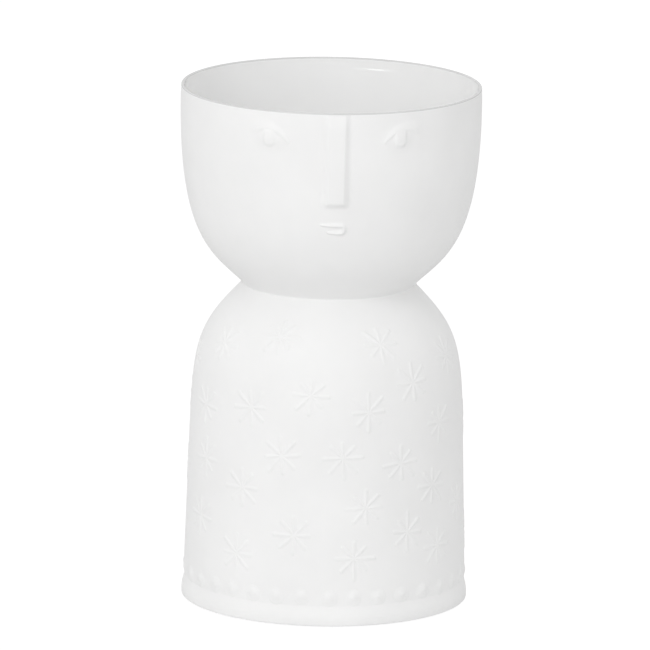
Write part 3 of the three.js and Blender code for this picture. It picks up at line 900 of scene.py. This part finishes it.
class VASE_OT_head(bpy.types.Operator):
    """Turn the bowl of the head, glazed inside"""

    bl_idname = "vase.head"
    bl_label = "Head"

    def execute(self, context):
        shells = context.scene.vase_shells
        wall = head_wall(shells)
        outside = wall.outline(WALL_STEPS)
        lining = self.lining(shells, wall)
        middle = (shells.lip_radius - shells.lip_edge, outside[-1][1])
        outer = arc(middle, shells.lip_edge, 0, 90, shells.lip_rise)
        inner = arc(middle, middle[0] - lining[0][0], 90, 180, shells.lip_rise)
        below = shells.body_height - SPIGOT_DEPTH
        spigot = shells.passage_radius + SPIGOT_WALL
        edge = THROAT_EDGE
        lining = lining[lining[:, 0] > shells.passage_radius + 2 * edge]
        throat = arc((shells.passage_radius + edge, lining[-1][1] - edge), edge, 90, 180)
        foot = [(shells.passage_radius, below), (spigot, below)]
        under = [(spigot, shells.body_height + SLIP_GAP)]
        profile = np.concatenate([outside, outer[1:], inner[1:], lining[1:], throat, foot, under])
        start = len(outside) - 1
        # The steps of the lip's rounding, which take the darker grey lip material
        lip_steps = range(start, start + 2 * ARC_STEPS)
        glazed = range(lip_steps.stop, len(profile) - len(under) - 1)
        made = turned(profile, glazed, lip_steps)
        self.swell_glaze(shells, made)
        piece = new_piece("bowl_shell", made, bisque(), glaze(), darker_lip())
        set_on_vase(piece, "head_bowl")
        return {"FINISHED"}

    def lining(self, shells, wall):
        """The inside from the lip down, in a wall that thickens less and less."""
        fine = shells.run_drop + shells.run_edge
        depth = np.concatenate([
            np.linspace(0.0, fine, RUN_STEPS + 1),
            np.linspace(fine, wall.length, INSIDE_STEPS + 1)[1:],
        ])
        upper = np.minimum(depth / shells.lining_drop, 1.0)
        lower = np.maximum(depth - shells.lining_drop, 0.0) / (wall.length - shells.lining_drop)
        thin = shells.lip_thickness
        thickness = thin + (shells.lining_wall - thin) * upper * (2.0 - upper)
        thickness += (shells.head_wall - shells.lining_wall) * lower
        return wall.inside(wall.length - depth, thickness)

    def swell_glaze(self, shells, made):
        """Thickens the lining in a run of glaze, with a steep upper edge, which fades downwards."""
        places = np.array([vertex.co for vertex in made.verts])
        radius = np.hypot(places[:, 0], places[:, 1])
        below = shells.body_height + shells.head_height - shells.run_drop - places[:, 2]
        aside = np.arctan2(places[:, 0], -places[:, 1]) - shells.run_turn
        swell = shells.run_swell * ridge(np.abs(aside) * radius / (shells.run_width / 2))
        swell *= eased((below + shells.run_edge / 2) / shells.run_edge)
        swell *= eased(1.0 - below / shells.run_length)
        swell[radius > shells.lip_radius - shells.lip_thickness] = 0.0
        for vertex, share in zip(made.verts, 1.0 - swell / radius):
            vertex.co.xy *= share


class VASE_OT_body(bpy.types.Operator):
    """Turn the bell of the body, glazed inside"""

    bl_idname = "vase.body"
    bl_label = "Body"

    def execute(self, context):
        shells = context.scene.vase_shells
        wall = body_wall(shells)
        outside = self.eased_crease(shells, wall.outline(WALL_STEPS))
        lining = wall.outline(INSIDE_STEPS, shells.body_wall)[::-1]
        skirt = shells.slab_thickness - SLAB_STEP
        collar = shells.passage_radius + SPIGOT_WALL + SLIP_GAP
        crown = [(collar, shells.body_height), (collar, lining[0][1])]
        foot = [(lining[-1][0], skirt), (shells.body_radius - SLIP_GAP, skirt)]
        profile = np.concatenate([outside, crown, lining, foot])
        first = len(outside) + 1
        glazed = range(first, first + len(lining))
        piece = new_piece("bell_shell", turned(profile, glazed), bisque(), glaze())
        set_on_vase(piece, "body_bell")
        return {"FINISHED"}

    def eased_crease(self, shells, outside):
        """Ends the outside in a small hollow of slip that fills the crease under the head."""
        crease = np.array([shells.neck_radius, shells.body_height])
        down = np.array([math.cos(shells.neck_slope), -math.sin(shells.neck_slope)])
        up = np.array([math.cos(shells.chin_slope), math.sin(shells.chin_slope)])
        ease = shells.crease_ease
        hollow = bezier(crease + ease * down, crease, crease + ease * up)[:: CURVE_SAMPLES // ARC_STEPS]
        kept = outside[np.linalg.norm(outside - crease, axis=1) > ease]
        return np.concatenate([kept, hollow])


class VASE_OT_floor_slab(bpy.types.Operator):
    """Turn the floor slab with its foot ring"""

    bl_idname = "vase.floor_slab"
    bl_label = "Floor slab"

    def execute(self, context):
        shells = context.scene.vase_shells
        edge = FOOT_EDGE
        ring_out = arc((shells.foot_outer - edge, edge), edge, 0, -90)
        ring_in = arc((shells.foot_inner + edge, edge), edge, -90, -180)
        inside = shells.body_radius - shells.body_wall - SLIP_GAP
        top = shells.slab_thickness
        step = top - SLAB_STEP
        profile = np.concatenate([
            [(SLAB_HUB, top), (inside, top), (inside, step), (shells.foot_outer, step)],
            ring_out,
            ring_in,
            [(shells.foot_inner, shells.foot_depth), (SLAB_HUB, shells.foot_depth)],
        ])
        piece = new_piece("foot_slab", turned(profile, (0,)), bisque(), glaze())
        set_on_vase(piece, "floor_slab")
        return {"FINISHED"}


class VASE_OT_hem(bpy.types.Operator):
    """Roll the hem and set its row of beads"""

    bl_idname = "vase.hem"
    bl_label = "Beaded hem"

    def execute(self, context):
        shells = context.scene.vase_shells
        relief = context.scene.vase_relief
        made = turned(self.roll_profile(shells))
        wall = Wall(bezier((shells.body_radius, shells.hem_lift), (shells.body_radius, shells.hem_top)))
        count = round(2.0 * math.pi * shells.body_radius / relief.bead_pitch)
        dice = random.Random(BEAD_SEED)
        for bead in range(count):
            size = dice.uniform(BEAD_SMALLEST, 1.0)
            lean = dice.uniform(-BEAD_LEAN, BEAD_LEAN)
            drift = dice.uniform(-BEAD_DRIFT, BEAD_DRIFT)
            lift = dice.uniform(-BEAD_LIFT, BEAD_LIFT)
            dome = bead_relief(relief, size, lean)
            lay_on(dome, wall, shells.hem_beads + lift, bead * 2.0 * math.pi / count + drift)
            self.add(made, dome)
        piece = new_piece("hem_roll_and_beads", made, bisque())
        set_on_vase(piece, "beaded_hem")
        return {"FINISHED"}

    def roll_profile(self, shells):
        """The rolled edge, which swells slowly out of the wall and turns under at the foot."""
        back = shells.foot_outer + SLIP_GAP
        front = shells.body_radius + shells.hem_proud
        share = np.linspace(0.0, 1.0, 2 * ARC_STEPS + 1)
        swell = np.stack([
            shells.body_radius - RELIEF_SINK + (shells.hem_proud + RELIEF_SINK) * eased(share),
            shells.hem_top_roll + (shells.hem_roll - shells.hem_top_roll) * share,
        ], axis=1)
        under = bezier((front, shells.hem_turn), (front, shells.hem_lift), (back, shells.hem_lift))
        under = under[:: CURVE_SAMPLES // ARC_STEPS]
        return np.concatenate([swell, under, [(back, shells.hem_top_roll)]])

    def add(self, made, part):
        """Copies one bmesh into another."""
        mesh = bpy.data.meshes.new("bead")
        part.to_mesh(mesh)
        part.free()
        made.from_mesh(mesh)
        bpy.data.meshes.remove(mesh)


class VASE_OT_face(bpy.types.Operator):
    """Lay the nose, the eyes and the mouth on the head"""

    bl_idname = "vase.face"
    bl_label = "Face"

    def execute(self, context):
        shells = context.scene.vase_shells
        relief = context.scene.vase_relief
        wall = head_wall(shells)
        rim = shells.body_height + shells.head_height
        nose = lay_on(nose_relief(relief), wall, rim - relief.nose_root_drop, 0.0)
        set_on_vase(new_piece("nose_ridge", nose, bisque()), "nose")
        for name, side in (("left", -1.0), ("right", 1.0)):
            node = name + "_eye"
            azimuth, _ = solid_place(node)
            eye = lay_on(eye_relief(relief, side), wall, rim - relief.eye_drop, azimuth)
            set_on_vase(new_piece(name + "_lid_and_iris", eye, bisque()), node)
        aside = relief.mouth_shift / shells.head_radius
        mouth = lay_on(mouth_relief(relief), wall, rim - relief.mouth_drop, aside)
        set_on_vase(new_piece("lips", mouth, bisque()), "mouth")
        return {"FINISHED"}


class VASE_OT_stars(bpy.types.Operator):
    """Scatter the line stars over the body"""

    bl_idname = "vase.stars"
    bl_label = "Stars"

    def execute(self, context):
        relief = context.scene.vase_relief
        wall = body_wall(context.scene.vase_shells)
        dice = random.Random(STAR_SEED)
        for node in STAR_NODES:
            azimuth, height = solid_place(node)
            size = dice.uniform(STAR_SMALLEST, 1.0)
            turn = dice.uniform(-STAR_TURN, STAR_TURN)
            star = lay_on(star_relief(relief, size, turn, dice), wall, height, azimuth)
            set_on_vase(new_piece(node.replace("star", "ray_star"), star, bisque()), node)
        return {"FINISHED"}


class VASE_PT_sidebar(bpy.types.Panel):
    """Lists the pieces of the vase and their sizes"""

    bl_idname = "VASE_PT_sidebar"
    bl_label = "Porcelain Vase"
    bl_space_type = "VIEW_3D"
    bl_region_type = "UI"
    bl_category = "Vase"

    def draw(self, context):
        layout = self.layout
        for operator in OPERATORS:
            layout.operator(operator.bl_idname)
        for name, group in GROUPS.items():
            column = layout.column(align=True)
            for setting in group.__annotations__:
                column.prop(getattr(context.scene, name), setting)


GROUPS = {
    "vase_shells": VaseShells,
    "vase_relief": VaseRelief,
    "vase_finish": VaseFinish,
    "vase_studio": VaseStudio,
}
OPERATORS = (
    VASE_OT_studio,
    VASE_OT_head,
    VASE_OT_body,
    VASE_OT_floor_slab,
    VASE_OT_hem,
    VASE_OT_face,
    VASE_OT_stars,
)


def register():
    for made in (*GROUPS.values(), *OPERATORS, VASE_PT_sidebar):
        bpy.utils.register_class(made)
    for name, group in GROUPS.items():
        setattr(bpy.types.Scene, name, PointerProperty(type=group))


def unregister():
    for name in GROUPS:
        delattr(bpy.types.Scene, name)
    for made in (VASE_PT_sidebar, *reversed(OPERATORS), *reversed(GROUPS.values())):
        bpy.utils.unregister_class(made)


def main():
    register()
    bpy.ops.vase.studio()
    bpy.ops.vase.head()
    bpy.ops.vase.body()
    bpy.ops.vase.floor_slab()
    bpy.ops.vase.hem()
    bpy.ops.vase.face()
    bpy.ops.vase.stars()


if __name__ == "__main__":
    main()
